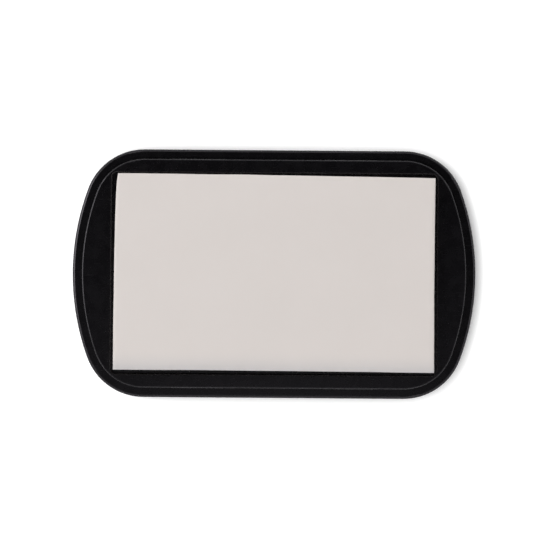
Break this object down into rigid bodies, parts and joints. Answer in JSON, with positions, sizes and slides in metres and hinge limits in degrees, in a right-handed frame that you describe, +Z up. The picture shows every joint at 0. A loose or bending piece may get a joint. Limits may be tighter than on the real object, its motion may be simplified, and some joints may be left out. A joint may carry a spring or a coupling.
{
  "type": "ink pad",
  "caption": "Raised craft ink pad: round-cornered black case with bowed ends, proud cloth-faced foam pad, inner cover and a lid stored under the base.",
  "frame": {"origin": "centre of the stored lid's flat face, on the surface that the ink pad stands on", "axes": "+X along the case's long side, +Y across it, +Z up out of the pad's face"},
  "size_m": [0.0952, 0.0586, 0.0196],
  "materials": {
    "case_plastic": "semi-gloss moulded",
    "pad_cloth": "fine close knit, warm off-white",
    "foam": "open-cell foam",
    "felt": "pressed felt",
    "tape": "double-sided adhesive tape",
    "label": "coated label paper",
    "cover_plastic": "thin translucent sheet"
  },
  "bodies": {
    "lid": {"lid_shell": "case_plastic", "lid_label": "label"},
    "base": {"base_case": "case_plastic", "pad_tape": "tape", "reservoir_felt": "felt", "pad_foam": "foam", "pad_cloth": "pad_cloth", "base_label": "label"},
    "inner_cover": {"inner_cover": "cover_plastic"}
  },
  "joints": [
    {"name": "base_lift", "type": "slide", "parent": "lid", "child": "base", "axis": [0, 0, 1], "range_m": [0, 0.03]},
    {"name": "cover_lift", "type": "slide", "parent": "lid", "child": "inner_cover", "axis": [0, 0, 1], "range_m": [0, 0.012]}
  ],
  "couplings": [
    {"joint": "cover_lift", "follows": "base_lift", "ratio": 0.4}
  ]
}
